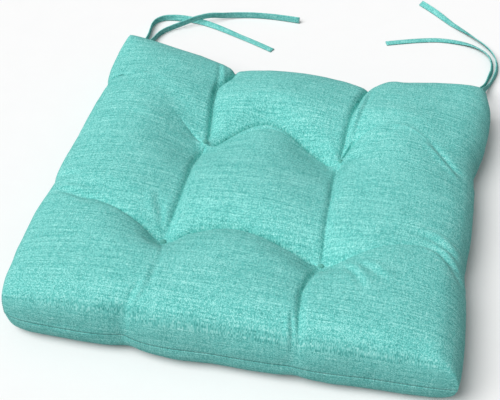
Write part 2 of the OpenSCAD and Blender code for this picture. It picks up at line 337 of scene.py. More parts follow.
BACK_FOLD = [(-257, 0), (-150, 0), (-115, 1.5), (-85, 7), (-45, 6), (0, 5), (45, 6), (85, 7), (113, 2),
             (257, 1.5)]
BACK_ROUNDING = [(-257, 30), (-140, 20), (-110, 10), (-85, 1), (85, 1), (257, 6)]    # how soft its bottom is
COLUMN_W = 87.0
FOLD_W = 8.0
FRONT_ROW_W = (46.0, 60.0)    # how far a row's valley reaches: in front of it, and behind it
BACK_ROW_W = (104.0, 92.0)
COLUMN_BEND_REACH = 80.0      # how far from a crease or a valley its bends move the cloth
FRONT_BEND_REACH = 96.0
BACK_BEND_REACH = 110.0

TUFT_TOP = 58.0
TUFT_UNDER = 11.5
TUFT_REACH = 32.0
TUFT_FLAT = 1.08         # above 1, the bottom of a tuft is a small flat
DIMPLE_REACH = 78.0      # a broad dimple round each tuft, deeper at the back
DIMPLE_BACK = 6.0
DIMPLE_FRONT = 3.0
TUFTS = {name: tuple(box_centre("top_tack_" + name) / MM)[:2] for name in CORNERS_IN}


def grid_lines(half, low, high, outside_low, between, outside_high):
    """Grid lines across the pad: round the edge roll, then closer together at the two crease lines."""
    flat = half - ROLL_IN
    turn = math.pi / 2 * (1 - (1 - np.linspace(0, 1, ROLL_CELLS + 1)) ** ROLL_SPACING)
    roll = flat + ROLL_IN * np.sin(turn) ** (2 / ROLL_FULLNESS)

    def outside(t):
        return t - LINE_CLOSENESS * np.sin(math.pi * t) / math.pi

    def inside(t):
        return t - LINE_CLOSENESS * np.sin(2 * math.pi * t) / (2 * math.pi)

    lower = low + (-flat - low) * outside(np.linspace(1, 0, outside_low + 1))
    middle = low + (high - low) * inside(np.linspace(0, 1, between + 1))
    upper = high + (flat - high) * outside(np.linspace(0, 1, outside_high + 1))
    return np.concatenate([-roll[::-1], lower[1:], middle[1:], upper[1:], roll[1:]])


X_LINES = grid_lines(HALF_W, -COLUMN_X, COLUMN_X, 26, 36, 26)
Y_LINES = grid_lines(HALF_D, ROW_FRONT, ROW_BACK, 20, 36, 30)
X, Y = np.meshgrid(X_LINES, Y_LINES)


def roll_share(inset, width, fullness):
    """The share of the height reached at an inset from the seam: 0 on the seam, 1 from the width inwards."""
    t = 1 - np.clip(inset / width, 0, 1)
    return (1 - t ** fullness) ** (1 / fullness)


IN_X, IN_Y = HALF_W - np.abs(X), HALF_D - np.abs(Y)
SIDE_SHARE = np.where(X > 0, roll_share(IN_X, RIGHT_ROLL_IN, RIGHT_ROLL_FULLNESS),
                      roll_share(IN_X, ROLL_IN, ROLL_FULLNESS))
END_SHARE = np.where(Y < 0, roll_share(IN_Y, FRONT_ROLL_IN, FRONT_ROLL_FULLNESS),
                     roll_share(IN_Y, ROLL_IN, ROLL_FULLNESS))
TOP_SHARE = soft_min(SIDE_SHARE, END_SHARE, 9)
UNDER_SHARE = soft_min(roll_share(IN_X, UNDER_IN, UNDER_FULLNESS),
                       roll_share(IN_Y, UNDER_IN, UNDER_FULLNESS), 5)


def plan(under=False):
    """Where each grid point lies in plan: the shaped sides, the rounded corners and the creases' runs."""
    u, v = X / HALF_W, Y / HALF_D
    near = np.where(v < 0, np.where(u < 0, CORNERS_IN["front_left"], CORNERS_IN["front_right"]),
                    np.where(u < 0, CORNERS_IN["back_left"], CORNERS_IN["back_right"]))
    corner = near * np.abs(u * v) ** CORNER_FADE
    if under:
        corner = corner + UNDER_CORNER_IN * np.abs(u * v) ** UNDER_CORNER_FADE * UNDER_SHARE
    swell_x = np.where(u < 0, smooth_line(Y, LEFT_SWELL), smooth_line(Y, RIGHT_SWELL))
    swell_y = np.where(v < 0, smooth_line(X, FRONT_SWELL), smooth_line(X, BACK_SWELL))
    pull_x = (SIDE_PULL * (1 - v * v) - swell_x) * np.abs(u) ** EDGE_FADE + corner
    pull_y = (np.where(v > 0, BACK_PULL, SIDE_PULL) * (1 - u * u) - swell_y) * np.abs(v) ** EDGE_FADE + corner
    groove_x = SEAM_GROOVE * valley(IN_X, SEAM_GROOVE_W)
    groove_y = SEAM_GROOVE * valley(IN_Y, SEAM_GROOVE_W)
    taper = 1 - BACK_TAPER * (v + 1) / 4 / HALF_W
    x = np.sign(X) * (np.abs(X) - pull_x - groove_x) * taper
    y = np.sign(Y) * (np.abs(Y) - pull_y - groove_y)
    x = (x + bump(X + COLUMN_X, COLUMN_BEND_REACH) * (smooth_line(Y, LEFT_CREASE_X) + COLUMN_X)
         + bump(X - COLUMN_X, COLUMN_BEND_REACH) * (smooth_line(Y, RIGHT_CREASE_X) - COLUMN_X))
    if not under:
        y = (y + bump(Y - ROW_FRONT, FRONT_BEND_REACH) * (smooth_line(X, FRONT_VALLEY_Y) - ROW_FRONT)
             + bump(Y - ROW_BACK, BACK_BEND_REACH) * (smooth_line(X, BACK_VALLEY_Y) - ROW_BACK))
    return x, y


# ---------------------------------------------------------------- the cover's shape

BACK_LEFT_RISE = 15      # how much higher the sides are at the corners, and lower at the back's middle
BACK_RIGHT_RISE = 3
BACK_MIDDLE_FALL = 7
FRONT_RISE = 5
CROWN_SIDE_POWER = 4.5   # the higher the power, the nearer to an edge the crown reaches
CROWN_RIGHT_EASE = 1.7   # and how much lower it is at the back right
CROWN_FRONT_POWER = 14
CROWN_BACK_POWER = 4
FRONT_FOLD_SHARE = 0.4   # the sharp fold at the front valley's bottom, as a share of its depth
UNDER_LIFT = 3.5         # shallow channels under the pad
UNDER_CHANNEL_W = 40
SETTLE_FALL = 9          # how far the middle puff's fill has sunk at its back valley
SETTLE_REACH = (105, 30)    # in front of the valley, and behind it


def rounded(d, radius):
    """A signed distance with less change close to zero, so that a valley has a soft bottom."""
    return np.sign(d) * (np.sqrt(d * d + radius * radius) - radius)


def row_section(d, reach):
    """A valley across the pad, with its own reach in front of it and behind it."""
    return np.where(d < 0, valley(d, reach[0]), valley(d, reach[1]))


def top_heights(x, y):
    u, v = X / HALF_W, Y / HALF_D
    at_back = np.clip(v, 0, 1) ** 4
    side = SIDE_H + (BACK_LEFT_RISE * np.clip(-u, 0, 1) ** 4 + BACK_RIGHT_RISE * np.clip(u, 0, 1) ** 4
                     - BACK_MIDDLE_FALL * (1 - u ** 4)) * at_back
    off_left = np.clip(1.2 + 1.6 * u, 0, 1)
    side = side + FRONT_RISE * np.clip(-v, 0, 1) ** 4 * off_left
    across = np.where(u < 0, CROWN_SIDE_POWER, CROWN_SIDE_POWER - CROWN_RIGHT_EASE * np.clip(v, 0, 1))
    along = np.where(v < 0, CROWN_FRONT_POWER, CROWN_BACK_POWER)
    crown = CROWN * (1 - np.abs(u) ** across) * (1 - np.abs(v) ** along)
    z = side + crown
    z = z - smooth_line(Y, LEFT_DEPTH) * valley(X + COLUMN_X, COLUMN_W)
    z = z - smooth_line(Y, RIGHT_DEPTH) * valley(X - COLUMN_X, COLUMN_W)
    z = z - smooth_line(Y, LEFT_FOLD) * valley(X + COLUMN_X, FOLD_W)
    z = z - smooth_line(Y, RIGHT_FOLD) * valley(X - COLUMN_X, FOLD_W)
    front = smooth_line(X, FRONT_DEPTH)
    back = smooth_line(X, BACK_DEPTH)
    z = z - front * row_section(Y - ROW_FRONT, FRONT_ROW_W)
    z = z - FRONT_FOLD_SHARE * front * valley(Y - ROW_FRONT, FOLD_W)
    z = z - back * row_section(rounded(Y - ROW_BACK, smooth_line(X, BACK_ROUNDING)), BACK_ROW_W)
    z = z - smooth_line(X, BACK_FOLD) * valley(Y - ROW_BACK, FOLD_W)
    for tx, ty in TUFTS.values():
        r = np.hypot(x - tx, y - ty)
        z = z - (DIMPLE_BACK if ty > 0 else DIMPLE_FRONT) * bump(r, DIMPLE_REACH)
        z = z + (TUFT_TOP - z) * np.minimum(1, TUFT_FLAT * valley(r, TUFT_REACH))
    return SEAM_Z + (z - SEAM_Z) * TOP_SHARE


def under_heights(x, y):
    lift = np.zeros(X.shape)
    for distance in (X + COLUMN_X, X - COLUMN_X, Y - ROW_FRONT, Y - ROW_BACK):
        lift = np.maximum(lift, UNDER_LIFT * valley(distance, UNDER_CHANNEL_W))
    for tx, ty in TUFTS.values():
        near = valley(np.hypot(x - tx, y - ty), UNDER_CHANNEL_W)
        lift = lift + (TUFT_UNDER - lift) * np.minimum(1, TUFT_FLAT * near)
    return SEAM_Z - (SEAM_Z - lift) * UNDER_SHARE


def settle(points):
    """The fill of the middle puff has settled towards the front, so that its top falls off to the back."""
    d = Y - ROW_BACK
    fall = SETTLE_FALL * np.where(d < 0, bump(d, SETTLE_REACH[0]), bump(d, SETTLE_REACH[1]))
    fall = fall * np.sqrt(bump(X, COLUMN_X))
    points[..., 2] -= fall * MM
    return points


def as_grid(x, y, z):
    return np.stack([x, y, z], axis=-1) * MM


def grid_faces(rows, columns, first=0, flip=False):
    faces = []
    for j in range(rows - 1):
        for i in range(columns - 1):
            c = first + j * columns + i
            face = (c, c + 1, c + columns + 1, c + columns)
            faces.append(face[::-1] if flip else face)
    return faces


def swell(points, pins, pressure, frames, cap):
    """Swells a grid by Cloth pressure between its pins. No point moves by more than the cap."""
    scene = bpy.context.scene
    rows, columns = points.shape[:2]
    obj = add_object("swelling_sheet", points.reshape(-1, 3), grid_faces(rows, columns))
    group = obj.vertex_groups.new(name="pins")
    for index, weight in enumerate(pins.ravel()):
        if weight > 0:
            group.add([index], float(weight), "REPLACE")
    cloth = obj.modifiers.new("cloth", "CLOTH")
    cloth.collision_settings.use_collision = False
    cloth.point_cache.frame_start = 1
    cloth.point_cache.frame_end = frames
    s = cloth.settings
    s.quality = 6
    s.mass = 0.3
    s.tension_stiffness = 25
    s.compression_stiffness = 12
    s.shear_stiffness = 6
    s.bending_stiffness = 0.6
    s.air_damping = 2
    s.vertex_group_mass = "pins"
    s.pin_stiffness = 2
    s.use_pressure = True
    s.uniform_pressure_force = pressure
    s.effector_weights.gravity = 0
    for step in range(1, frames + 1):
        scene.frame_set(step)
    evaluated = obj.evaluated_get(bpy.context.evaluated_depsgraph_get())
    swollen = evaluated.to_mesh()
    end = np.array([v.co[:] for v in swollen.vertices]).reshape(points.shape)
    evaluated.to_mesh_clear()
    scene.frame_set(1)
    mesh = obj.data
    bpy.data.objects.remove(obj)
    bpy.data.meshes.remove(mesh)
    move = end - points
    size = np.linalg.norm(move, axis=-1, keepdims=True)
    return points + move * np.minimum(1, cap / np.maximum(size, 1e-9))


ROLL_HOLD = 0.5          # how firmly the turn-over is held while the cloth swells
COLUMN_HOLD = 0.35       # and the columns, where they have no depth
ROW_HOLD = 0.9           # and the rows, at the most
HELD_DEPTH = 16          # a crease this deep is held fully
HELD_FOLD = 7
LINE_REACH = 1.0         # how near a point lies to a line or a tuft to be held by it
TUFT_HOLD_REACH = 4


def pin_weights(x, y):
    """Held all round the seam and at the tufts, firmly along the columns and more softly along the rows."""
    pins = ROLL_HOLD * (1 - np.clip(TOP_SHARE, 0, 1) ** 8)
    for line, depth in ((-COLUMN_X, LEFT_DEPTH), (COLUMN_X, RIGHT_DEPTH)):
        hold = np.clip(COLUMN_HOLD + smooth_line(Y, depth) / HELD_DEPTH, 0, 1)
        pins = np.where(np.abs(X - line) < LINE_REACH, np.maximum(pins, hold), pins)
    for line, depth, held in ((ROW_FRONT, FRONT_DEPTH, HELD_DEPTH), (ROW_BACK, BACK_FOLD, HELD_FOLD)):
        hold = np.clip(smooth_line(X, depth) / held, 0, ROW_HOLD)
        pins = np.where(np.abs(Y - line) < LINE_REACH, np.maximum(pins, hold), pins)
    for tx, ty in TUFTS.values():
        pins = np.where(np.hypot(x - tx, y - ty) < TUFT_HOLD_REACH, 1.0, pins)
    pins[0, :] = pins[-1, :] = pins[:, 0] = pins[:, -1] = 1.0
    return pins


def refine(grid):
    """One subdivision of a grid: a new line half-way between each two, on the smooth curve through them."""
    for axis in (0, 1):
        g = np.moveaxis(grid, axis, 0)
        ends = np.concatenate([2 * g[:1] - g[1:2], g, 2 * g[-1:] - g[-2:-1]])
        middle = (9 * (ends[1:-2] + ends[2:-1]) - ends[:-3] - ends[3:]) / 16
        out = np.empty((2 * len(g) - 1,) + g.shape[1:])
        out[0::2] = g
        out[1::2] = middle
        grid = np.moveaxis(out, 0, axis)
    return grid


def grid_normals(points):
    across = np.gradient(points, axis=1)
    along = np.gradient(points, axis=0)
    normal = np.cross(across, along)
    return normal / np.maximum(np.linalg.norm(normal, axis=-1, keepdims=True), 1e-12)


def flat_coords(points):
    """Where the cloth lay before it was sewn: its place in plan, and on the sides the distance down them."""
    height = points[..., 2]
    fall = np.maximum(0, SIDE_H * MM - np.maximum(height, SIDE_H * MM - height))
    rows, columns = points.shape[:2]
    u = np.linspace(-1, 1, columns)[None, :] * np.ones((rows, 1))
    v = np.linspace(-1, 1, rows)[:, None] * np.ones((1, columns))
    on_x = np.abs(u) > 1 - 2 * ROLL_CELLS / columns * 2
    on_y = np.abs(v) > 1 - 2 * ROLL_CELLS / rows * 2
    return np.stack([points[..., 0] + np.sign(u) * on_x * fall,
                     points[..., 1] + np.sign(v) * on_y * fall], axis=-1)


# Small folds in the top panel: points in plan, depth, half-width, and the side the cloth is heaped up on.
WRINKLES = [
    ([(117, -130), (127, -141), (136, -154), (145, -169)], 3.4, 3.4, 1),
    ([(131, -129), (144, -134), (156, -143), (169, -153)], 3.0, 3.4, 1),
    ([(184, 92), (200, 77), (216, 62), (234, 46)], 2.8, 4.0, -1),
    ([(180, -69), (203, -70), (221, -75), (240, -83)], 2.6, 3.8, 1),
    ([(186, -82), (206, -81), (224, -87), (244, -102)], 1.8, 3.8, -1),
    ([(213, -84), (229, -97), (247, -114)], 2.4, 3.8, 1),
    ([(-230, -73), (-214, -77), (-198, -82), (-180, -82)], 3.2, 4.0, 1),
    ([(-244, -44), (-228, -46), (-208, -52)], 1.2, 5.0, 1),
    ([(-46, 68), (-30, 82), (-14, 88), (2, 87), (20, 78)], 2.0, 2.4, 1),
    ([(-98, -240), (-97, -230), (-93, -216), (-88, -202)], 2.2, 3.4, -1),
    ([(-82, -214), (-79, -196), (-80, -176)], 1.2, 4.0, 1),
    ([(80, -241), (79, -232), (76, -222), (76, -212)], 2.0, 2.6, 1),
    ([(-104, 214), (-98, 194), (-94, 174), (-94, 150), (-92, 126)], 2.8, 2.4, 1),
    ([(108, 206), (104, 180), (102, 150), (98, 118), (94, 90)], 2.6, 3.0, -1),
    ([(120, 70), (134, 90), (142, 108)], 1.6, 4.5, 1),
    ([(-96, -96), (-106, -78), (-112, -60)], 1.5, 4.5, 1),
    ([(-94, -104), (-100, -88), (-100, -66)], 1.2, 4.0, -1),
    ([(-196, 62), (-172, 66), (-150, 62)], 1.0, 6.0, 1),
    ([(96, 150), (84, 128), (78, 104)], 1.2, 5.0, 1),
]


WRINKLE_STEPS = 5
RIDGE_SHARE = 0.65       # the heaped cloth's height, its place and its width, as shares of the fold's own
RIDGE_PLACE = 1.7
RIDGE_WIDTH = 1.3


def wrinkle(x, y, knots, depth, half_width, heap):
    """A fold that fades at both ends: a groove, with the cloth heaped up along one side of it."""
    line = spline(knots, WRINKLE_STEPS)
    best = np.full(x.shape, 1e9)
    signed = np.zeros(x.shape)
    place = np.zeros(x.shape)
    for k, (a, b) in enumerate(zip(line, line[1:])):
        step = b - a
        long = np.hypot(*step)
        t = np.clip(((x - a[0]) * step[0] + (y - a[1]) * step[1]) / long ** 2, 0, 1)
        dx, dy = x - a[0] - t * step[0], y - a[1] - t * step[1]
        d = np.hypot(dx, dy)
        closer = d < best
        best = np.where(closer, d, best)
        signed = np.where(closer, np.sign(step[0] * dy - step[1] * dx) * d, signed)
        place = np.where(closer, (k + t) / (len(line) - 1), place)
    fade = np.sin(np.pi * np.clip(place, 0, 1)) ** 0.8 * np.exp(-np.maximum(0, best - 3 * half_width) / 2)
    groove = np.exp(-(signed / half_width) ** 2)
    ridge = np.exp(-((signed * heap - RIDGE_PLACE * half_width) / (RIDGE_WIDTH * half_width)) ** 2)
    return depth * fade * (RIDGE_SHARE * ridge - groove)


GATHER_WAVES = [(1.0, 9, 1.7), (0.7, 5, 0.9), (0.5, 14, 2.3)]    # share, gathers round a tuft, and turn
GATHER_DEPTH = 0.75
GATHER_START = 9         # the gathers grow up to here, and fade over the next length
GATHER_FADE = 15


def tuft_folds(x, y):
    """Short gathers that run out from each tuft, no two alike."""
    total = np.zeros(x.shape)
    for number, (tx, ty) in enumerate(TUFTS.values()):
        dx, dy = x - tx, y - ty
        r = np.hypot(dx, dy)
        angle = np.arctan2(dy, dx)
        wave = sum(share * np.cos(count * angle + turn * number) for share, count, turn in GATHER_WAVES)
        total += GATHER_DEPTH * wave * np.clip(r / GATHER_START, 0, 1) * np.exp(-r / GATHER_FADE)
    return total


def unevenness(points, size, seed):
    """Smooth noise over the cloth, from about -1 to 1, with lumps of about the given size in millimetres."""
    shift = Vector((seed * 17.3, seed * 5.1, seed * 9.7))
    flat = points.reshape(-1, 3) / (size * MM)
    return np.array([noise.noise(Vector(p) + shift) for p in flat]).reshape(points.shape[:2])


def near_seam(points_z, reach):
    """1 at the height of the seam, and 0 from the reach above or below it."""
    return np.clip(1 - np.abs(points_z / MM - SEAM_Z) / reach, 0, 1)


LUMPS = [(0.9, 48, 1), (0.45, 21, 2), (0.16, 9, 3)]    # depth, size and seed of the cloth's unevenness
PUCKER = (0.9, 11, 4)                                  # and of the upright puckers at the seam
PUCKER_REACH = 20
SEAM_CALM = 4            # how fast all of this fades in from the seam, where both panels have to meet


def finish_cloth(points, wrinkles):
    """Adds the small folds, gathers, seam puckers and unevenness of hand-filled cloth."""
    x, y = points[..., 0] / MM, points[..., 1] / MM
    height = points[..., 2]
    offset = sum(depth * unevenness(points, size, seed) for depth, size, seed in LUMPS)
    for knots, depth, half_width, heap in wrinkles:
        offset = offset + wrinkle(x, y, knots, depth, half_width, heap)
    offset = offset + tuft_folds(x, y)
    depth, size, seed = PUCKER
    upright = points * np.array([1, 1, 0.12])
    offset = offset + depth * unevenness(upright, size, seed) * near_seam(height, PUCKER_REACH) ** 1.5
    calm = np.clip((1 - near_seam(height, SEAM_Z)) * SEAM_CALM, 0, 1)
    return points + grid_normals(points) * (offset * calm * MM)[..., None]


CELL_RING = [(0, 0), (0, 1), (0, 2), (1, 2), (2, 2), (2, 1), (2, 0), (1, 0)]    # round a coarse inner cell
RIM = (np.s_[0, :], np.s_[-1, :], np.s_[:, 0], np.s_[:, -1])


def rim_places(rows, columns):
    """Row and column of each point round the rim of a grid."""
    return ([(0, i) for i in range(columns)] + [(j, columns - 1) for j in range(1, rows)]
            + [(rows - 1, i) for i in range(columns - 2, -1, -1)] + [(j, 0) for j in range(rows - 2, 0, -1)])


def cloth_shell(name, points, flip):
    """A closed shell of cloth: the fine outer face, a coarser inner face, and the cut edge between them."""
    rows, columns = points.shape[:2]
    normals = grid_normals(points)
    outward = -normals if flip else normals
    inner = points - outward * COVER_T * MM
    verts = list(points.reshape(-1, 3))
    coords = list(flat_coords(points).reshape(-1, 2))
    faces = grid_faces(rows, columns, flip=flip)
    inner_index = {}
    for j in range(rows):
        for i in range(columns):
            on_rim = j in (0, rows - 1) or i in (0, columns - 1)
            if on_rim or (j % 2 == 0 and i % 2 == 0):
                inner_index[j, i] = len(verts)
                verts.append(inner[j, i])
                coords.append(coords[j * columns + i])

    def add(loop, reverse):
        faces.append(tuple(reversed(loop)) if reverse else tuple(loop))

    for j in range(0, rows - 1, 2):
        for i in range(0, columns - 1, 2):
            around = [(j + dj, i + di) for dj, di in CELL_RING]
            add([inner_index[p] for p in around if p in inner_index], not flip)
    rim = rim_places(rows, columns)
    for a, b in zip(rim, rim[1:] + rim[:1]):
        outer_a, outer_b = a[0] * columns + a[1], b[0] * columns + b[1]
        add([outer_b, outer_a, inner_index[a], inner_index[b]], flip)
    obj = add_object(name, verts, faces)
    for face in obj.data.polygons[-len(rim):]:
        face.use_smooth = False
    set_weave(obj, coords)
    return obj


SWELL_FADE = 0.7         # the share of the side's height over which the swelling fades in from the seam


def make_top():
    x, y = plan()
    points = as_grid(x, y, top_heights(x, y))
    swollen = swell(points, pin_weights(x, y), pressure=4.0, frames=20, cap=6 * MM)
    points = points + (swollen - points) * np.clip(TOP_SHARE / SWELL_FADE, 0, 1)[..., None]
    return finish_cloth(refine(settle(points)), WRINKLES)


def make_under():
    x, y = plan(under=True)
    points = refine(as_grid(x, y, under_heights(x, y)))
    points = finish_cloth(points, [])
    points[..., 2] = np.maximum(points[..., 2], 0)
    return points


def match_seam(upper, lower):
    """Gives the bottom panel the top panel's rim, so that the two meet all round the seam."""
    for where in RIM:
        lower[where] = upper[where]


FILL_CLEARANCE = 2.2
FILL_IN = 5.0
FILL_RIM = 0.5 * MM      # half the filling's thickness at its rim
FILL_ROUNDS = 2          # how many grid lines away from a fold the filling stays


def make_fill(upper, lower):
    """The fibre filling: it follows both panels from inside them, without reaching into their folds."""
    gap = (COVER_T + FILL_CLEARANCE) * MM
    up, down = upper[::2, ::2].copy(), lower[::2, ::2].copy()
    rows, columns = up.shape[:2]
    for part, pick, shift in ((up, np.minimum, -gap), (down, np.maximum, gap)):
        z = part[..., 2].copy()
        for _ in range(FILL_ROUNDS):
            wide = np.pad(z, 1, mode="edge")
            for dj in (0, 1, 2):
                for di in (0, 1, 2):
                    z = pick(z, wide[dj:dj + rows, di:di + columns])
        part[..., 2] = z + shift
        part[..., :2] *= 1 - FILL_IN / HALF_W
    rim_z = (up[..., 2] + down[..., 2]) / 2
    for where in RIM:
        up[..., 2][where] = rim_z[where] + FILL_RIM
        down[..., 2][where] = rim_z[where] - FILL_RIM
        down[..., :2][where] = up[..., :2][where]
    verts = list(up.reshape(-1, 3)) + list(down.reshape(-1, 3))
    count = rows * columns
    faces = grid_faces(rows, columns) + grid_faces(rows, columns, count, flip=True)
    rim = [j * columns + i for j, i in rim_places(rows, columns)]
    for a, b in zip(rim, rim[1:] + rim[:1]):
        faces.append((b, a, a + count, b + count))
    return add_object("fill_wadding", verts, faces)


upper = make_top()
lower = make_under()
match_seam(upper, lower)
cover_top = cloth_shell("cover_top", upper, flip=False)
cover_under = cloth_shell("cover_under", lower, flip=True)
fill = make_fill(upper, lower)
for piece, node, slot in ((cover_top, "top_panel", "cover_fabric"),
                          (cover_under, "bottom_panel", "cover_fabric"),
                          (fill, "fibre_fill", "polyester_fibre")):
    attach(piece, "pad")
    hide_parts(node)


# ---------------------------------------------------------------- seams, stitches and tacks

TACK_THREAD = 0.42 * MM
SEAM_THREAD = 0.9 * MM
SEAM_IN = 1.2            # how far inside the seam line its thread runs
DART_LIFT = 0.25 * MM
TACK_STITCHES = 16
TACK_R = 3.0 * MM
BAR_STITCHES = 9


def make_stitch_row(name, line, pitch, length, radius, lift):
    """Short stitches along a line of points, with their ends sunk into the cloth."""
    line = np.asarray(line)
    steps = np.linalg.norm(np.diff(line, axis=0), axis=1)
    run = np.concatenate([[0], np.cumsum(steps)])
    stitches = []
    for start in np.arange(pitch / 2, run[-1] - pitch / 2, pitch):
        at = start + length * np.linspace(0, 1, 5)
        stitch = np.stack([np.interp(at, run, line[:, k]) for k in range(3)], axis=1)
        stitch = stitch + np.outer(np.sin(np.pi * np.linspace(0, 1, 5)) - 0.6, lift)
        stitches.append(stitch)
    return tubes(name, stitches, radius, sides=6)


def thread_piece(obj, node):
    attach(obj, "pad")
    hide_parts(node)
    return obj


def make_edge_seam():
    rim = np.array([upper[place] for place in rim_places(*upper.shape[:2])])
    inward = rim * np.array([1 - SEAM_IN / HALF_W, 1 - SEAM_IN / HALF_D, 1])
    closed = np.vstack([inward, inward[:1]])
    return tubes("edge_seam_thread", [closed], SEAM_THREAD)


def corner_line(grid, name):
    """The mitre of one corner on a panel's grid, from the seam up to where the side turns over."""
    j = 0 if name.startswith("front") else -1
    i = 0 if name.endswith("left") else -1
    step_j = 1 if j == 0 else -1
    step_i = 1 if i == 0 else -1
    return np.array([grid[j + step_j * k, i + step_i * k] for k in range(2 * ROLL_CELLS - 3)])


def make_dart(name):
    outward = Vector((-1 if name.endswith("left") else 1, -1 if name.startswith("front") else 1, 0.4))
    outward = np.array(outward.normalized()) * DART_LIFT
    line = corner_line(upper, name) + outward
    return make_stitch_row("dart_" + name, line, 3.2 * MM, 2.3 * MM, 0.3 * MM, outward)


def make_tack(name, centre, up):
    """A round tack: radial stitches over a small ring, domed up towards the outside."""
    lines = []
    for k in range(TACK_STITCHES):
        a = 2 * math.pi * (k + 0.3 * math.sin(5 * k)) / TACK_STITCHES
        line = []
        for t in np.linspace(0, 1, 7):
            r = TACK_R * t
            line.append((centre[0] + r * math.cos(a), centre[1] + r * math.sin(a),
                         centre[2] + up * MM * (1.0 * math.sqrt(max(0, 1 - t ** 2.4)) - 0.3)))
        lines.append(line)
    r = TACK_R - 0.1 * MM
    ring = [(centre[0] + r * math.cos(a), centre[1] + r * math.sin(a), centre[2] - up * 0.2 * MM)
            for a in np.linspace(0, 2 * math.pi, 25)]
    lines.append(ring)
    return tubes(name, lines, TACK_THREAD, sides=6)


def surface_height(grid, x, y):
    """The height of a panel's grid at the point nearest to a place in plan."""
    d = np.hypot(grid[..., 0] - x, grid[..., 1] - y)
    return float(grid[..., 2].ravel()[np.argmin(d)])


def make_bar_tack(name, centre):
    """A block of close zigzag stitches that holds a pair of ties in the seam."""
    lines = []
    for k in range(BAR_STITCHES):
        x = centre[0] + (k - 4) * 0.45 * MM
        lines.append([(x, centre[1] + 0.9 * MM, centre[2] + h * MM) for h in (-3.6, -2, 0, 2, 3.6)])
    zigzag = []
    for k in range(BAR_STITCHES + 1):
        side = 1.2 if k % 2 else -1.2
        zigzag.append((centre[0] + (k - 4.5) * 0.48 * MM, centre[1] + 1.2 * MM, centre[2] + side * MM))
    lines.append(zigzag)
    return tubes(name, lines, TACK_THREAD, sides=6)


def make_closing_stitches():
    """Slanted hand stitches over the seam in the middle of the back edge."""
    lo, hi = (Vector(c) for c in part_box("closing_stitch"))
    back = upper[-1]
    lines = []
    for x in np.arange(lo.x + 2 * MM, hi.x - 2 * MM, 4.2 * MM):
        y = float(np.interp(x, back[:, 0], back[:, 1]))
        lines.append([(x + t * 2.4 * MM, y + (1.0 - 2.2 * t ** 2) * MM, SEAM_Z * MM + t * 5 * MM)
                      for t in np.linspace(0, 1, 6) - 0.5])
    return tubes("closing_stitch_thread", lines, 0.4 * MM, sides=6)


seam = thread_piece(make_edge_seam(), "edge_seam")
closing = thread_piece(make_closing_stitches(), "closing_stitch")
threads = [seam, closing]
for corner in CORNERS_IN:
    threads.append(thread_piece(make_dart(corner), "corner_dart_" + corner))
for name, (tx, ty) in TUFTS.items():
    x, y = tx * MM, ty * MM
    top_z = surface_height(upper, x, y) + 0.5 * MM
    under_z = surface_height(lower, x, y) - 0.5 * MM
    threads.append(thread_piece(make_tack("tack_top_" + name, (x, y, top_z), 1), "top_tack_" + name))
    threads.append(thread_piece(make_tack("tack_under_" + name, (x, y, under_z), -1), "bottom_tack_" + name))
for side in ("left", "right"):
    bar_tack = make_bar_tack("bar_tack_" + side, box_centre("tie_tack_" + side))
    threads.append(thread_piece(bar_tack, "tie_tack_" + side))


# ---------------------------------------------------------------- materials

class Nodes:
    """Short names for the few kinds of node that the materials use."""

    def __init__(self, name):
        self.material = bpy.data.materials.new(name)
        self.material.use_nodes = True
        self.tree = self.material.node_tree
        self.shader = self.tree.nodes["Principled BSDF"]

    def put(self, socket, value):
        if isinstance(value, bpy.types.NodeSocket):
            self.tree.links.new(value, socket)
        elif value is not None:
            socket.default_value = value

    def math(self, kind, a, b=None, c=None):
        node = self.tree.nodes.new("ShaderNodeMath")
        node.operation = kind
        for socket, value in zip(node.inputs, (a, b, c)):
            self.put(socket, value)
        return node.outputs[0]

    def attribute(self, name):
        node = self.tree.nodes.new("ShaderNodeAttribute")
        node.attribute_name = name
        split = self.tree.nodes.new("ShaderNodeSeparateXYZ")
        self.put(split.inputs[0], node.outputs["Vector"])
        return split.outputs[0], split.outputs[1]

    def combine(self, x, y, z=0.0):
        node = self.tree.nodes.new("ShaderNodeCombineXYZ")
        for socket, value in zip(node.inputs, (x, y, z)):
            self.put(socket, value)
        return node.outputs[0]

    def noise(self, vector, scale, detail=0.0):
        node = self.tree.nodes.new("ShaderNodeTexNoise")
        self.put(node.inputs["Vector"], vector)
        node.inputs["Scale"].default_value = scale
        node.inputs["Detail"].default_value = detail
        return node.outputs["Fac"]

    def white(self, vector):
        node = self.tree.nodes.new("ShaderNodeTexWhiteNoise")
        node.noise_dimensions = "3D"
        self.put(node.inputs["Vector"], vector)
        return node.outputs["Value"]

    def ramp(self, factor, stops):
        node = self.tree.nodes.new("ShaderNodeValToRGB")
        self.put(node.inputs["Fac"], factor)
        elements = node.color_ramp.elements
        elements[0].position, elements[0].color = stops[0][0], (*stops[0][1], 1)
        elements[1].position, elements[1].color = stops[-1][0], (*stops[-1][1], 1)
        for position, colour in stops[1:-1]:
            elements.new(position).color = (*colour, 1)
        return node.outputs["Color"]

    def bump(self, height, distance, strength):
        node = self.tree.nodes.new("ShaderNodeBump")
        node.inputs["Strength"].default_value = strength
        node.inputs["Distance"].default_value = distance
        self.put(node.inputs["Height"], height)
        self.put(self.shader.inputs["Normal"], node.outputs["Normal"])

    def matte(self, roughness, sheen):
        self.shader.inputs["Roughness"].default_value = roughness
        self.shader.inputs["Specular IOR Level"].default_value = 0.25
        self.shader.inputs["Sheen Weight"].default_value = sheen
        self.shader.inputs["Sheen Roughness"].default_value = 0.5


THREAD_PITCH = 0.85 * MM
DARK_TEAL = (0.020, 0.240, 0.220)
MID_TEAL = (0.150, 0.590, 0.545)
LIGHT_TEAL = (0.480, 0.930, 0.880)


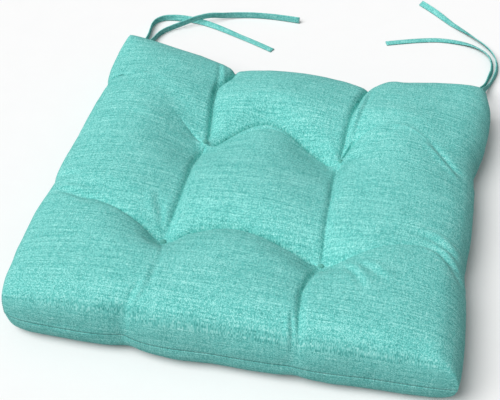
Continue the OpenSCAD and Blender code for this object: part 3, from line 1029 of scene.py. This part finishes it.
def slub_linen():
    """A plain weave of uneven yarns in close shades of teal, with thicker slubs along both yarns."""
    n = Nodes("slub_linen")
    u, v = n.attribute("weave")
    u = n.math("DIVIDE", u, THREAD_PITCH)
    v = n.math("DIVIDE", v, THREAD_PITCH)
    column, row = n.math("FLOOR", u), n.math("FLOOR", v)
    warp_up = n.math("MODULO", n.math("ABSOLUTE", n.math("ADD", column, row)), 2.0)
    weft_up = n.math("SUBTRACT", 1.0, warp_up)
    weft_tone = n.noise(n.combine(n.math("MULTIPLY", u, 0.03), n.math("MULTIPLY", row, 3.7)), 1.0, 1.0)
    warp_tone = n.noise(n.combine(n.math("MULTIPLY", column, 3.7), n.math("MULTIPLY", v, 0.03), 9.0),
                        1.0, 1.0)
    speck = n.white(n.combine(column, row))
    band = n.noise(n.combine(n.math("MULTIPLY", u, 0.010), n.math("MULTIPLY", v, 0.42), 3.0), 1.0, 1.0)
    tone = n.math("MULTIPLY_ADD", speck, 0.52, -0.355)
    tone = n.math("MULTIPLY_ADD", weft_tone, 0.45, tone)
    tone = n.math("MULTIPLY_ADD", warp_tone, 0.34, tone)
    tone = n.math("MULTIPLY_ADD", band, 0.40, tone)
    colour = n.ramp(tone, [(0.0, DARK_TEAL), (0.5, MID_TEAL), (1.0, LIGHT_TEAL)])
    n.put(n.shader.inputs["Base Color"], colour)
    across_weft = n.math("SINE", n.math("MULTIPLY", n.math("FRACT", v), math.pi))
    across_warp = n.math("SINE", n.math("MULTIPLY", n.math("FRACT", u), math.pi))
    height = n.math("ADD", n.math("MULTIPLY", across_weft, weft_up),
                    n.math("MULTIPLY", across_warp, warp_up))
    height = n.math("MULTIPLY_ADD", speck, 0.4, height)
    height = n.math("MULTIPLY_ADD", weft_tone, 1.0, height)
    n.bump(height, 0.2 * MM, 0.25)
    n.matte(0.9, 0.04)
    return n.material


def spun_thread():
    """Matching sewing thread, with the slanted lines of its twist."""
    n = Nodes("spun_thread")
    u, v = n.attribute("weave")
    twist = n.math("SINE", n.math("ADD", n.math("MULTIPLY", u, 5200.0), n.math("MULTIPLY", v, 2400.0)))
    tone = n.math("MULTIPLY_ADD", twist, 0.25, 0.5)
    colour = n.ramp(tone, [(0.0, (0.07, 0.36, 0.31)), (1.0, (0.20, 0.60, 0.53))])
    n.put(n.shader.inputs["Base Color"], colour)
    n.bump(twist, 0.08 * MM, 0.6)
    n.matte(0.6, 0.1)
    return n.material


def fibre_wadding():
    """White polyester fibre, soft and uneven."""
    n = Nodes("fibre_wadding")
    coords = n.tree.nodes.new("ShaderNodeTexCoord").outputs["Object"]
    strands = n.noise(coords, 420.0, 5.0)
    colour = n.ramp(strands, [(0.3, (0.72, 0.72, 0.70)), (0.7, (0.92, 0.92, 0.90))])
    n.put(n.shader.inputs["Base Color"], colour)
    n.bump(strands, 0.8 * MM, 0.6)
    n.matte(0.95, 0.4)
    return n.material


linen, thread, wadding = slub_linen(), spun_thread(), fibre_wadding()
for piece in [cover_top, cover_under] + ties:
    piece.data.materials.append(linen)
for piece in threads:
    piece.data.materials.append(thread)
fill.data.materials.append(wadding)
for node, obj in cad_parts.items():
    obj.data.materials.clear()
    obj.data.materials.append(wadding if node == "fibre_fill" else linen if "panel" in node else thread)


# ---------------------------------------------------------------- floor and lights

FLOOR_R = 40.0


def make_ground(name, height, material):
    """A level square, wide enough to reach the horizon of a low view."""
    ground = add_object(name, [(-FLOOR_R, -FLOOR_R, 0), (FLOOR_R, -FLOOR_R, 0), (FLOOR_R, FLOOR_R, 0),
                               (-FLOOR_R, FLOOR_R, 0)], [(0, 1, 2, 3)])
    ground.data.materials.append(material)
    ground.location.z = height
    return ground


def pale_floor():
    n = Nodes("pale_floor")
    coords = n.tree.nodes.new("ShaderNodeTexCoord").outputs["Object"]
    grain = n.noise(coords, 30.0, 2.0)
    colour = n.ramp(grain, [(0.0, (0.92, 0.92, 0.92)), (1.0, (0.94, 0.94, 0.94))])
    n.put(n.shader.inputs["Base Color"], colour)
    n.matte(0.9, 0.0)
    return n.material


def grey_card():
    n = Nodes("grey_card")
    n.put(n.shader.inputs["Base Color"], (0.36, 0.36, 0.36, 1))
    n.matte(0.9, 0.0)
    return n.material


def make_floor():
    """The floor that the camera sees, over a grey card that throws less light back on to the pad's sides."""
    floor = make_ground("floor", -0.0004, pale_floor())
    floor.visible_diffuse = False
    floor.visible_shadow = False
    card = make_ground("bounce_card", -0.0006, grey_card())
    card.visible_camera = False
    card.visible_glossy = False


def make_sun(name, direction, width, strength):
    """A soft sun that shines from a direction, with a width in degrees."""
    data = bpy.data.lights.new(name, "SUN")
    data.angle = math.radians(width)
    data.energy = strength
    sun = bpy.data.objects.new(name, data)
    sun.rotation_mode = "QUATERNION"
    sun.rotation_quaternion = (-Vector(direction)).to_track_quat("-Z", "Y")
    bpy.context.scene.collection.objects.link(sun)


def make_world(strength):
    world = bpy.data.worlds.new("world")
    world.use_nodes = True
    background = world.node_tree.nodes["Background"]
    background.inputs["Color"].default_value = (1, 1, 1, 1)
    background.inputs["Strength"].default_value = strength
    bpy.context.scene.world = world


make_floor()
make_sun("key", (-0.44, -0.37, 0.82), 46, 2.88)
make_world(0.30)
bpy.context.scene.view_settings.view_transform = "Standard"
